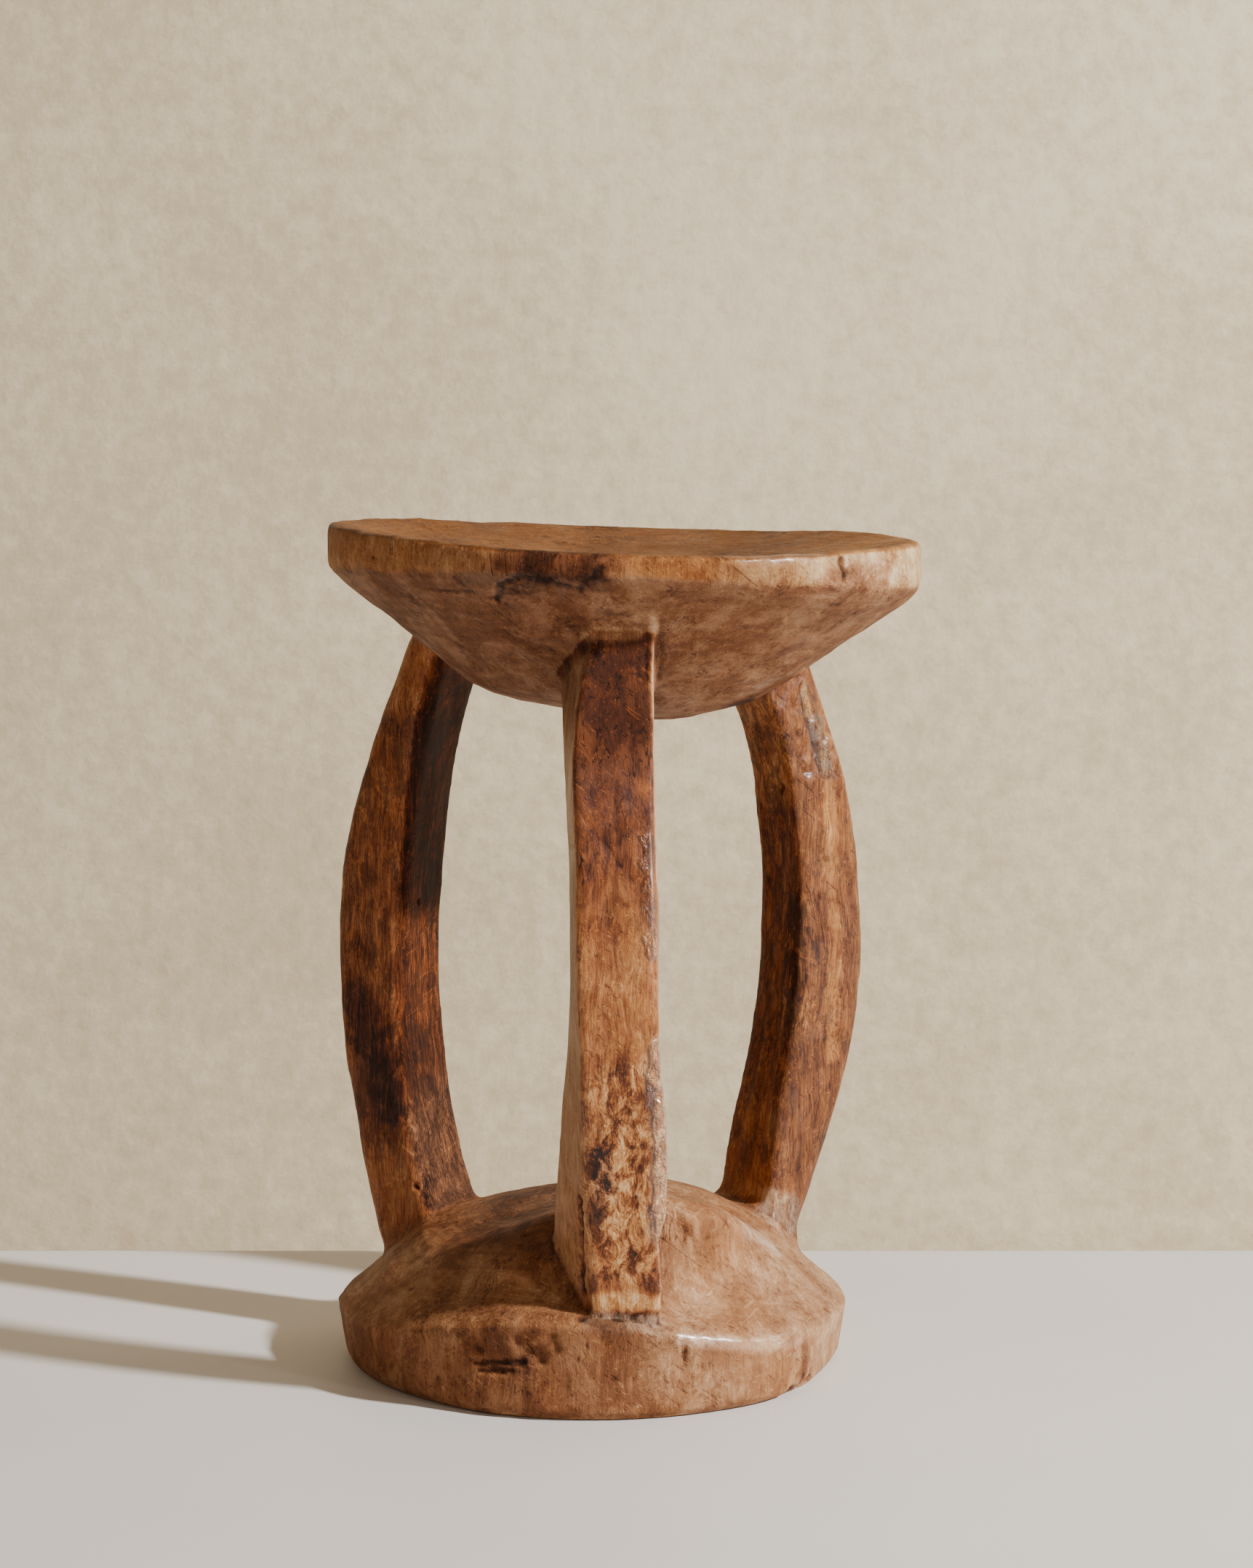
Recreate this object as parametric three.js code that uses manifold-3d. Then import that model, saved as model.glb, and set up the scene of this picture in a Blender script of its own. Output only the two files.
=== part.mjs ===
// A three-legged stool of the kind that herding peoples of East Africa carve from one log:
// a dished round seat with a bowl-like underside, three bowed legs and a domed round base.
// The wood is one piece, so nothing moves and nothing is fastened. Its five members are
// separate solids here, which meet face to face where one carved form turns into the next.
// Millimetres, +Z up, the floor at Z = 0, and the front leg towards -Y.
import * as THREE from "three";
import { mergeVertices } from "three/addons/utils/BufferGeometryUtils.js";
import Module from "manifold-3d";

const wasm = await Module();
wasm.setup();

const degree = Math.PI / 180;
const fullTurn = 360 * degree;

// Two members leave this much between their faces
const jointGap = 0.3;

// Seat: a dish above, a rim wall round it, and below it a cone that ends in a flatter crown.
// The rim's left end stands higher than its right, and its front and back dip a little.
const seatRadius = 122.5;
const seatRimLevel = 346.5;
const seatRimFall = 4.4;
const seatRimSaddle = 1.6;
const seatRimRounding = 3;
const seatWallHeight = 20;
const seatWallSwell = 6;
const seatWallBevelShare = 0.3;
const seatDishDepth = 13;
const seatDishFlatRadius = 30;
const seatConeRadius = 62;
const seatConeDrop = 43;
const seatCrownDrop = 12.5;
const seatCrownShift = 13;
const seatRimWander = 1;
const seatShift = 10;

// Base: a round foot with a dome above it, which is highest under the front leg at its edge
const baseRadius = 107.5;
const baseFootInset = 3.5;
const baseEdgeLevel = 24;
const baseFrontRise = 14;
const baseFrontAngle = 262 * degree;
const baseFrontSpread = 65 * degree;
const baseEdgeRounding = 3.5;
const baseShoulderRadius = 70;
const baseShoulderRise = 32;
const baseCrownRise = 18;
const baseCrownShift = 14;
const baseHillRise = 24;
const baseHillReach = 5;
const baseHillAngle = 276 * degree;
const baseHillSpread = 78 * degree;
const baseRimWander = 1.3;
const baseShift = -4.2;

// Crowns of the bowl and the dome: a flat tip, and how round they are half way out to it
const crownTipRadius = 12;
const crownFallShare = 0.37;

// Legs: bowed outwards between base and seat, both of which they enter by the burial depth.
// At their bulge they stand a little inside the seat's rim, as the round log leaves them.
const legBurial = 5;
const legOuterWidth = 30;
const legInnerWidth = 36;
const legInnerRounding = 5;
const frontLegInset = 5.5;
const frontLegDepth = 30;
const frontLegSway = 4;
const frontLegRounding = 2.4;
const leftLegInset = 0.3;
const leftLegDepth = 34.2;
const leftLegRounding = 8;
const rightLegInset = 0.8;
const rightLegDepth = 34;
const rightLegRounding = 8;

// At six even levels from foot to head: widths as shares of those above, and for each leg its
// outer and inner faces as shares of their reach at the bulge, and its sidelong sway.
const legOuterWidthShares = [0.86, 1.01, 1.02, 1, 0.93, 0.72];
const legInnerWidthShares = [1.25, 1.12, 1, 0.97, 1, 1.08];
const uprightShares = [0, 0, 0, 0, 0, 0];
const legs = [
  {
    name: "front_leg",
    bearing: 3.7 * degree,
    inset: frontLegInset,
    depth: frontLegDepth,
    sway: frontLegSway,
    rounding: frontLegRounding,
    outerShares: [0.85, 0.93, 1, 0.99, 0.94, 0.82],
    innerShares: [0.7, 0.9, 1, 1, 0.92, 0.7],
    outerSwayShares: [1.1, 0.6, 0.1, -0.1, -0.1, 1],
    innerSwayShares: [-0.9, -0.9, -0.5, -0.3, -0.7, -0.9],
  },
  {
    name: "left_leg",
    bearing: -117.5 * degree,
    inset: leftLegInset,
    depth: leftLegDepth,
    sway: 0,
    rounding: leftLegRounding,
    outerShares: [0.8, 0.92, 1, 0.99, 0.85, 0.61],
    innerShares: [0.66, 0.91, 1, 0.99, 0.9, 0.69],
    outerSwayShares: uprightShares,
    innerSwayShares: uprightShares,
  },
  {
    name: "right_leg",
    bearing: 121.5 * degree,
    inset: rightLegInset,
    depth: rightLegDepth,
    sway: 0,
    rounding: rightLegRounding,
    outerShares: [0.66, 0.855, 1, 0.99, 0.885, 0.715],
    innerShares: [0.755, 0.84, 0.98, 1.01, 0.89, 0.55],
    outerSwayShares: uprightShares,
    innerSwayShares: uprightShares,
  },
];

// Waves of an edge that was cut by eye, as shares of how far it wanders
const rimWaves = [
  { perTurn: 2, share: 0.6, phase: 35 * degree },
  { perTurn: 3, share: 0.5, phase: -65 * degree },
  { perTurn: 5, share: 0.3, phase: 0 },
];

// How fast the dish steepens towards the rim, how much of the edge's rise the dome keeps, and
// how much lower than a straight flank the shelf before the hill lies, as a share of its height
const dishPower = 1.6;
const shoulderRiseShare = 0.25;
const shelfFallShare = 0.3;

// Facets
const sectorCount = 64;
const dishRings = 7;
const roundingRings = 4;
const bowlRings = 13;
const domeRings = 13;
const legStations = 22;
const cornerPoints = 4;

// Colours of the bare wood
const seatColour = 0xa8754a;
const legColour = 0x8c5430;
const baseColour = 0xa06a42;

const seatDishLevel = seatRimLevel - seatDishDepth;
const seatConeLevel = seatRimLevel - seatWallHeight - seatConeDrop;
const seatCrownLevel = seatConeLevel - seatCrownDrop;
const baseShoulderLevel = baseEdgeLevel + baseShoulderRise;
const baseCrownLevel = baseShoulderLevel + baseCrownRise;
const legFootLevel = baseEdgeLevel - legBurial;
const legHeadLevel = seatRimLevel - seatWallHeight - legBurial;

// A closed skin from a first pole, through rings of equal length, to a last pole.
function skinOfRings(firstPole, rings, lastPole) {
  const count = rings[0].length;
  const corners = [firstPole, ...rings.flat(), lastPole];
  const last = corners.length - 1;
  const at = (ring, k) => 1 + ring * count + (k % count);
  const faces = [];
  for (let k = 0; k < count; k++) {
    faces.push(0, at(0, k), at(0, k + 1));
    for (let ring = 1; ring < rings.length; ring++) {
      faces.push(at(ring - 1, k), at(ring, k), at(ring, k + 1));
      faces.push(at(ring - 1, k), at(ring, k + 1), at(ring - 1, k + 1));
    }
    faces.push(at(rings.length - 1, k), last, at(rings.length - 1, k + 1));
  }
  const geometry = new THREE.BufferGeometry();
  const flat = corners.flatMap((corner) => corner.toArray());
  geometry.setAttribute("position", new THREE.Float32BufferAttribute(flat, 3));
  geometry.setIndex(faces);
  return geometry;
}

// A round carved body. profile(angle) gives its outline at that angle as [radius, level] pairs,
// from near the top of the axis to near the bottom of it.
function carvedRound(profile, topLevel, bottomLevel, shift) {
  const outlines = [];
  for (let k = 0; k < sectorCount; k++) {
    const angle = (fullTurn * k) / sectorCount;
    outlines.push(
      profile(angle).map(
        ([radius, level]) =>
          new THREE.Vector3(shift + radius * Math.cos(angle), radius * Math.sin(angle), level),
      ),
    );
  }
  const rings = outlines[0].map((_, ring) => outlines.map((outline) => outline[ring]));
  const top = new THREE.Vector3(shift, 0, topLevel);
  const bottom = new THREE.Vector3(shift, 0, bottomLevel);
  return skinOfRings(top, rings, bottom);
}

// Moves the tip of a crown along X, and what lies between it and its shoulder less and less.
function shiftCrown(geometry, shoulderLevel, crownLevel, shift) {
  const corners = geometry.attributes.position;
  for (let k = 0; k < corners.count; k++) {
    const share = (corners.getZ(k) - shoulderLevel) / (crownLevel - shoulderLevel);
    if (share > 0) corners.setX(k, corners.getX(k) + shift * Math.min(share, 1));
  }
  return geometry;
}

// Points of a smooth line through a few [radius, level] pairs.
function smoothLine(pairs, count) {
  const curve = new THREE.CatmullRomCurve3(
    pairs.map(([radius, level]) => new THREE.Vector3(radius, level, 0)),
    false,
    "centripetal",
  );
  return curve.getPoints(count).map((point) => [point.x, point.y]);
}

// The pair half way between two others, with the level at the given share of the way.
const between = ([radiusA, levelA], [radiusB, levelB], levelShare) => [
  (radiusA + radiusB) / 2,
  levelA + (levelB - levelA) * levelShare,
];

// How far an edge lies outside its true circle at an angle.
const wander = (angle, size) =>
  rimWaves.reduce((sum, wave) => sum + size * wave.share * Math.sin(wave.perTurn * angle + wave.phase), 0);

// A rise of the given size about one angle, which dies away smoothly on both sides.
function localRise(angle, centre, spread, size) {
  const away = Math.abs(angle - centre);
  return away < spread ? size * Math.cos((90 * degree * away) / spread) ** 2 : 0;
}

function seatProfile(angle) {
  const radius = seatRadius + wander(angle, seatRimWander);
  const crestRadius = radius - seatRimRounding;
  const rimLevel = seatRimLevel + seatRimSaddle * Math.cos(2 * angle) - seatRimFall * Math.cos(angle);
  const points = [];
  for (let ring = 0; ring <= dishRings; ring++) {
    const share = ring / dishRings;
    const ringRadius = seatDishFlatRadius + share * (crestRadius - seatDishFlatRadius);
    points.push([ringRadius, seatDishLevel + (rimLevel - seatDishLevel) * share ** dishPower]);
  }
  for (let ring = 1; ring <= roundingRings; ring++) {
    const turn = (90 * degree * ring) / roundingRings;
    points.push([
      crestRadius + seatRimRounding * Math.sin(turn),
      rimLevel - seatRimRounding * (1 - Math.cos(turn)),
    ]);
  }
  const wallHeight = seatWallHeight + seatWallSwell * Math.cos(2 * angle);
  const bevel = wallHeight * seatWallBevelShare;
  const wallFoot = [radius - bevel, rimLevel - wallHeight];
  const coneFoot = [seatConeRadius, seatConeLevel];
  const tip = [crownTipRadius, seatCrownLevel];
  points.push([radius, rimLevel - wallHeight + bevel]);
  const bowl = [
    wallFoot,
    between(wallFoot, coneFoot, 1 / 2),
    coneFoot,
    between(coneFoot, tip, 1 - crownFallShare),
    tip,
  ];
  points.push(...smoothLine(bowl, bowlRings));
  return points;
}

function baseProfile(angle) {
  const side = wander(angle, baseRimWander);
  const rise = localRise(angle, baseFrontAngle, baseFrontSpread, baseFrontRise);
  const edgeLevel = baseEdgeLevel + rise;
  const edgeRadius = baseRadius + side;
  const footRadius = edgeRadius - baseFootInset;
  const tip = [crownTipRadius, baseCrownLevel];
  const hill = localRise(angle, baseHillAngle, baseHillSpread, 1);
  const shoulder = [
    baseShoulderRadius + hill * baseHillReach,
    baseShoulderLevel + rise * shoulderRiseShare + hill * baseHillRise,
  ];
  const edge = [edgeRadius - baseEdgeRounding, edgeLevel + baseEdgeRounding];
  const shelf = between(edge, shoulder, 1 / 2 - hill * shelfFallShare);
  const dome = [tip, between(tip, shoulder, crownFallShare), shoulder, shelf, edge];
  return [
    ...smoothLine(dome, domeRings),
    [edgeRadius, edgeLevel],
    [footRadius, baseEdgeRounding],
    [footRadius - baseEdgeRounding, 0],
  ];
}

// One level section of a leg: a trapezium with rounded corners, as [outwards, sideways] pairs.
function legSection(inner, outer) {
  const corners = [
    [outer, -1],
    [outer, 1],
    [inner, 1],
    [inner, -1],
  ].map(([face, side]) => ({
    place: new THREE.Vector2(face.reach, face.sway + (side * face.width) / 2),
    rounding: face.rounding,
  }));
  const points = [];
  corners.forEach(({ place, rounding }, k) => {
    const before = corners[(k + 3) % 4].place;
    const after = corners[(k + 1) % 4].place;
    const start = before.clone().sub(place).setLength(rounding).add(place);
    const end = after.clone().sub(place).setLength(rounding).add(place);
    const bend = new THREE.QuadraticBezierCurve(start, place, end);
    points.push(...bend.getPoints(cornerPoints - 1));
  });
  return points;
}

// A size that varies smoothly from foot to head, through itself times each share.
function alongLeg(size, shares, place) {
  const places = shares.map((_, k) => k / (shares.length - 1));
  return size * new THREE.CubicInterpolant(places, shares, 1).evaluate(place)[0];
}

function legGeometry(leg) {
  const outwards = new THREE.Vector3(Math.sin(leg.bearing), -Math.cos(leg.bearing), 0);
  const sideways = new THREE.Vector3(Math.cos(leg.bearing), Math.sin(leg.bearing), 0);
  const outerReach = seatRadius - leg.inset;
  const innerReach = outerReach - leg.depth;
  const rings = [];
  for (let k = legStations; k >= 0; k--) {
    const place = k / legStations;
    const axisPoint = new THREE.Vector3(0, 0, legFootLevel + (legHeadLevel - legFootLevel) * place);
    const inner = {
      reach: alongLeg(innerReach, leg.innerShares, place),
      width: alongLeg(legInnerWidth, legInnerWidthShares, place),
      sway: alongLeg(leg.sway, leg.innerSwayShares, place),
      rounding: legInnerRounding,
    };
    const outer = {
      reach: alongLeg(outerReach, leg.outerShares, place),
      width: alongLeg(legOuterWidth, legOuterWidthShares, place),
      sway: alongLeg(leg.sway, leg.outerSwayShares, place),
      rounding: leg.rounding,
    };
    rings.push(
      legSection(inner, outer).map(({ x, y }) =>
        axisPoint.clone().addScaledVector(outwards, x).addScaledVector(sideways, y),
      ),
    );
  }
  const centre = (ring) =>
    ring.reduce((sum, point) => sum.add(point), new THREE.Vector3()).divideScalar(ring.length);
  return skinOfRings(centre(rings[0]), rings, centre(rings[rings.length - 1]));
}

function solidFrom(geometry) {
  const merged = mergeVertices(geometry);
  return new wasm.Manifold(
    new wasm.Mesh({
      numProp: 3,
      vertProperties: merged.attributes.position.array,
      triVerts: new Uint32Array(merged.index.array),
    }),
  );
}

function geometryFrom(solid) {
  const { vertProperties, triVerts } = solid.getMesh();
  const geometry = new THREE.BufferGeometry();
  geometry.setAttribute("position", new THREE.BufferAttribute(vertProperties, 3));
  geometry.setIndex(new THREE.BufferAttribute(triVerts, 1));
  return geometry;
}

function member(name, geometry, colour) {
  const material = new THREE.MeshStandardMaterial({ color: colour, roughness: 0.5, metalness: 0 });
  const mesh = new THREE.Mesh(geometry, material);
  mesh.name = name;
  return mesh;
}

const seatGeometry = shiftCrown(
  carvedRound(seatProfile, seatDishLevel, seatCrownLevel, seatShift),
  seatConeLevel,
  seatCrownLevel,
  seatCrownShift,
);
const baseGeometry = shiftCrown(
  carvedRound(baseProfile, baseCrownLevel, 0, baseShift),
  baseShoulderLevel,
  baseCrownLevel,
  baseCrownShift,
);

const stool = new THREE.Group();
stool.add(member("seat", seatGeometry, seatColour));
stool.add(member("base", baseGeometry, baseColour));

// Each leg ends on the bowl above it and on the dome below it, less the gap
const overLegs = solidFrom(seatGeometry).translate([0, 0, -jointGap]);
const underLegs = solidFrom(baseGeometry).translate([0, 0, jointGap]);
for (const leg of legs) {
  const solid = solidFrom(legGeometry(leg)).subtract(overLegs).subtract(underLegs);
  stool.add(member(leg.name, geometryFrom(solid), legColour));
}

// The origin is on the floor under the middle of the whole stool
const bounds = new THREE.Box3().setFromObject(stool);
const middle = bounds.getCenter(new THREE.Vector3());
stool.position.set(-middle.x, -middle.y, -bounds.min.z);

export default stool;
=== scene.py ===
"""Looks of a three-legged stool carved from one log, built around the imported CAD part.

All shape work is in the part's millimetres and goes to metres at the end.
"""

import math
from typing import NamedTuple

import bpy
import numpy as np
import openvdb
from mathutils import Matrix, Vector


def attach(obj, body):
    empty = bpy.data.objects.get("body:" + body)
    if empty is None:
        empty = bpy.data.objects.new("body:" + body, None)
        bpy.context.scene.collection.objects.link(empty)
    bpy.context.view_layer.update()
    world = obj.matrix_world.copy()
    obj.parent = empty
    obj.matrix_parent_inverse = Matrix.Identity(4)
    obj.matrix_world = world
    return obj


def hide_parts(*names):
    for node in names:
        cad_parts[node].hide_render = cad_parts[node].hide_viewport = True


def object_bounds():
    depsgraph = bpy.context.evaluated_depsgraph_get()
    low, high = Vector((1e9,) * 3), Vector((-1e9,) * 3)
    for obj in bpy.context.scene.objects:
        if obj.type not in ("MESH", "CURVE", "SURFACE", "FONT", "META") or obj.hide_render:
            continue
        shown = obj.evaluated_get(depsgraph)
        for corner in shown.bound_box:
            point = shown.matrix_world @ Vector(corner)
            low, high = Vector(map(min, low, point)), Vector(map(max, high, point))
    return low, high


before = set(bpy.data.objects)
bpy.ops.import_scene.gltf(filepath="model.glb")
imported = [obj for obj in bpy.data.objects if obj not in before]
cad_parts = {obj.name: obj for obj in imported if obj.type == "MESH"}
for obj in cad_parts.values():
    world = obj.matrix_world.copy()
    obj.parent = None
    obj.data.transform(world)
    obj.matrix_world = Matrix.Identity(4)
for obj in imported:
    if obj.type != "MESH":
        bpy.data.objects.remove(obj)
cad_low, cad_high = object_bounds()

# The height that the places and sizes below were chosen for, in mm, and such a mm in metres:
# a part packed at another scale takes them all along.
CHOSEN_HEIGHT = 352.5
MM = round((cad_high[2] - cad_low[2]) / CHOSEN_HEIGHT, 7)

# Camera: the fit to the photograph, in mm from the stool's middle on the floor.
CAMERA_ASIDE = 0.6
CAMERA_BACK = 1550
CAMERA_HEIGHT = 413
CAMERA_PITCH = math.radians(6.27)
CAMERA_REACH = (50, 30000)
FOCAL_PIXELS = 5132
LONG_SIDE_PIXELS = 2156
SENSOR = 36

# Stage: a pale table top that falls away behind the stool, and a warm wall further back.
TABLE_BACK = 192
TABLE_BEND = 14
TABLE_BEND_STEPS = 6
TABLE_FALL = math.radians(16)
WALL_BACK = 900
WALL_FOOT = -260
WALL_TOP = 2200
STAGE_HALF_WIDTH = 2200
STAGE_FRONT = 1900

# Lights: place and width of the disc in mm, watts, colour.
LIGHTS = {
    "key": ((2500, -1270, 2080), 200, 235, (0.98, 0.98, 0.98)),
    "fill": ((-1200, -1900, 1200), 1600, 4, (1.0, 0.93, 0.85)),
    "side": ((1900, -1700, 450), 120, 13, (1.0, 0.98, 0.95)),
}
LIGHT_AIM = (0, 0, 170)
SKY_COLOUR = (1.0, 0.76, 0.52, 1)
SKY_STRENGTH = 0.2

# The five carved members, and the record's slot that each takes its finish from.
PIECES = ("seat", "base", "front_leg", "left_leg", "right_leg")
SEAT, BASE, FRONT, LEFT, RIGHT = range(5)
LEGS = PIECES[FRONT:]
SLOTS = {
    "seat": "seat_wood",
    "base": "base_wood",
    "front_leg": "leg_wood",
    "left_leg": "leg_wood",
    "right_leg": "leg_wood",
}
LEG_AXIS_X = -9.21
BEARINGS = {
    "front_leg": math.radians(3.7),
    "left_leg": math.radians(-117.5),
    "right_leg": math.radians(121.5),
}
MID_HEIGHT = 200

# The carved surface: rounds of wear, how far it stays inside the CAD box, and how high its
# edge points may lie and still rest on the floor, in mm.
WEAR_ROUNDS = 14
BOX_GAP = 0.03
SOLE_EDGE = 0.4

# Values at each point of the surface that drive the wood's looks.
ATTRIBUTES = ("tone", "cool", "red", "flake", "mottle", "gloss", "dust")

# Shape grid: its cell and the corners that it reaches past, in mm, the cells of margin round
# them and the cells that distances reach.
VOXEL = 1.25
NEAR_CORNER = np.array([-123.0, -122.5, 0.0])
FAR_CORNER = np.array([123.0, 122.5, 352.5])
MARGIN_VOXELS = 12
BAND_VOXELS = 9
LOW = NEAR_CORNER - MARGIN_VOXELS * VOXEL
SIZE = np.ceil((FAR_CORNER - LOW) / VOXEL).astype(int) + MARGIN_VOXELS


def linked(name, data):
    """A new object with the data, linked to the scene."""
    obj = bpy.data.objects.new(name, data)
    bpy.context.scene.collection.objects.link(obj)
    return obj


def make_camera():
    data = bpy.data.cameras.new("camera")
    data.sensor_width = SENSOR
    data.lens = FOCAL_PIXELS * SENSOR / LONG_SIDE_PIXELS
    data.clip_start, data.clip_end = (reach * MM for reach in CAMERA_REACH)
    camera = linked("camera", data)
    camera.location = (CAMERA_ASIDE * MM, -CAMERA_BACK * MM, CAMERA_HEIGHT * MM)
    camera.rotation_euler = (math.pi / 2 - CAMERA_PITCH, 0, 0)
    bpy.context.scene.camera = camera


def make_lights():
    for name, (place, width, watts, colour) in LIGHTS.items():
        data = bpy.data.lights.new(name, "AREA")
        data.shape = "DISK"
        data.size = width * MM
        data.energy = watts
        data.color = colour
        light = linked(name, data)
        light.location = Vector(place) * MM
        aim = Vector(LIGHT_AIM) - Vector(place)
        light.rotation_euler = aim.to_track_quat("-Z", "Y").to_euler()
    world = bpy.data.worlds.new("world")
    world.use_nodes = True
    background = world.node_tree.nodes["Background"]
    background.inputs["Color"].default_value = SKY_COLOUR
    background.inputs["Strength"].default_value = SKY_STRENGTH
    bpy.context.scene.world = world


class Nodes:
    """Short calls to build a material's node tree."""

    def __init__(self, name):
        self.material = bpy.data.materials.new(name)
        self.material.use_nodes = True
        self.tree = self.material.node_tree
        self.tree.nodes.clear()

    def add(self, kind, inputs=None, **settings):
        node = self.tree.nodes.new(kind)
        for key, value in settings.items():
            setattr(node, key, value)
        for key, value in (inputs or {}).items():
            socket = node.inputs[key]
            if isinstance(value, bpy.types.NodeSocket):
                self.tree.links.new(value, socket)
            else:
                socket.default_value = value
        return node

    def math(self, operation, *values, clamp=False):
        inputs = dict(enumerate(values))
        node = self.add("ShaderNodeMath", inputs, operation=operation, use_clamp=clamp)
        return node.outputs[0]

    def plus(self, first, *others):
        for other in others:
            first = self.math("ADD", first, other)
        return first

    def minus(self, a, b):
        return self.math("SUBTRACT", a, b)

    def times(self, a, b, clamp=False):
        return self.math("MULTIPLY", a, b, clamp=clamp)

    def centred(self, source, amount):
        """A noise about nought instead of a half, times an amount."""
        return self.times(self.minus(source, 0.5), amount)

    def vector(self, operation, *values, scale=None):
        inputs = dict(enumerate(values))
        if scale is not None:
            inputs["Scale"] = scale
        node = self.add("ShaderNodeVectorMath", inputs, operation=operation)
        return node.outputs["Value" if operation == "LENGTH" else "Vector"]

    def noise(self, where, scale, detail=3, roughness=0.55, distortion=0, rise=1, output="Fac"):
        """A noise with so many cells to the metre, drawn out along z where rise is below 1."""
        if rise < 1:
            inputs = {"Vector": where, "Scale": (1, 1, rise)}
            where = self.add("ShaderNodeMapping", inputs, vector_type="POINT").outputs[0]
        inputs = {"Vector": where, "Scale": scale, "Detail": detail}
        inputs.update(Roughness=roughness, Distortion=distortion)
        return self.add("ShaderNodeTexNoise", inputs).outputs[output]

    def steps(self, value, low, high):
        """A soft step from 0 to 1 between two values."""
        inputs = {"Value": value, "From Min": low, "From Max": high}
        node = self.add("ShaderNodeMapRange", inputs, interpolation_type="SMOOTHSTEP")
        return node.outputs["Result"]

    def mix(self, factor, a, b, blend="MIX"):
        inputs = {0: factor, 6: a, 7: b}
        return self.add("ShaderNodeMix", inputs, data_type="RGBA", blend_type=blend).outputs[2]

    def ramp(self, value, colours):
        """Colours at even stops from 0 to 1."""
        node = self.add("ShaderNodeValToRGB", {"Fac": value})
        elements = node.color_ramp.elements
        while len(elements) < len(colours):
            elements.new(0.5)
        for number, colour in enumerate(colours):
            elements[number].position = number / (len(colours) - 1)
            elements[number].color = paint(*colour)
        return node.outputs["Color"]

    def bump(self, height, distance, strength=1):
        inputs = {"Strength": strength, "Distance": distance, "Height": height}
        return self.add("ShaderNodeBump", inputs).outputs[0]

    def finish(self, shader):
        self.add("ShaderNodeOutputMaterial", {"Surface": shader.outputs[0]})
        return self.material


def paint(red, green, blue):
    """A display colour in 0 to 255 as the linear colour that the shaders take."""
    linear = []
    for value in (red, green, blue):
        share = value / 255
        low = share / 12.92
        high = ((share + 0.055) / 1.055) ** 2.4
        linear.append(low if share <= 0.04045 else high)
    return (*linear, 1)


def stage_object(name, vertices, faces, material):
    mesh = bpy.data.meshes.new(name)
    mesh.from_pydata([Vector(place) * MM for place in vertices], [], faces)
    mesh.materials.append(material)
    return linked(name, mesh)


def table_material():
    nodes = Nodes("table_top")
    where = nodes.add("ShaderNodeNewGeometry").outputs["Position"]
    cloud = nodes.steps(nodes.noise(where, scale=2.5), 0.3, 0.7)
    grain = nodes.noise(where, scale=900, detail=2)
    inputs = {
        "Base Color": nodes.mix(cloud, paint(214, 208, 202), paint(222, 216, 211)),
        "Roughness": 0.55,
        "Normal": nodes.bump(grain, distance=0.0003, strength=0.08),
    }
    return nodes.finish(nodes.add("ShaderNodeBsdfPrincipled", inputs))


def wall_material():
    """Warm plaster that is clear from behind, so that the wall hides nothing from there."""
    nodes = Nodes("wall_plaster")
    geometry = nodes.add("ShaderNodeNewGeometry")
    where = geometry.outputs["Position"]
    cloud = nodes.noise(where, scale=5, detail=4)
    flecks = nodes.noise(where, scale=70, detail=8, roughness=0.72)
    tone = nodes.plus(nodes.times(cloud, 0.4), nodes.times(flecks, 0.6))
    tone = nodes.steps(tone, 0.36, 0.64)
    trowelled = nodes.noise(where, scale=40, detail=4, roughness=0.6)
    inputs = {
        "Color": nodes.mix(tone, paint(192, 176, 146), paint(216, 203, 173)),
        "Normal": nodes.bump(trowelled, distance=0.006, strength=0.3),
    }
    plaster = nodes.add("ShaderNodeBsdfDiffuse", inputs)
    clear = nodes.add("ShaderNodeBsdfTransparent")
    sides = {0: geometry.outputs["Backfacing"], 1: plaster.outputs[0], 2: clear.outputs[0]}
    return nodes.finish(nodes.add("ShaderNodeMixShader", sides))


def make_stage():
    radius = TABLE_BEND / math.sin(TABLE_FALL)
    profile = [(-STAGE_FRONT, 0)]
    for step in range(TABLE_BEND_STEPS + 1):
        turn = TABLE_FALL * step / TABLE_BEND_STEPS
        y = TABLE_BACK - TABLE_BEND + radius * math.sin(turn)
        profile.append((y, radius * (math.cos(turn) - 1)))
    last_y, last_z = profile[-1]
    profile.append((STAGE_FRONT, last_z - (STAGE_FRONT - last_y) * math.tan(TABLE_FALL)))
    points = [(side * STAGE_HALF_WIDTH, y, z) for y, z in profile for side in (-1, 1)]
    faces = [(2 * k, 2 * k + 1, 2 * k + 3, 2 * k + 2) for k in range(len(profile) - 1)]
    floor = stage_object("floor", points, faces, table_material())

    corners = [(-1, WALL_FOOT), (1, WALL_FOOT), (1, WALL_TOP), (-1, WALL_TOP)]
    points = [(side * STAGE_HALF_WIDTH, WALL_BACK, z) for side, z in corners]
    wall = stage_object("wall", points, [(0, 1, 2, 3)], wall_material())


def node_triangles(name):
    """A CAD node's points in mm, each once, and its triangles."""
    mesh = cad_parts[name].data
    mesh.calc_loop_triangles()
    points = np.empty(len(mesh.vertices) * 3, np.float32)
    mesh.vertices.foreach_get("co", points)
    corners = np.empty(len(mesh.loop_triangles) * 3, np.int32)
    mesh.loop_triangles.foreach_get("vertices", corners)
    points = points.reshape(-1, 3) / MM
    _, first, back = np.unique(
        np.round(points, 3), axis=0, return_index=True, return_inverse=True
    )
    return points[first], back.reshape(-1)[corners.reshape(-1, 3)]


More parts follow.
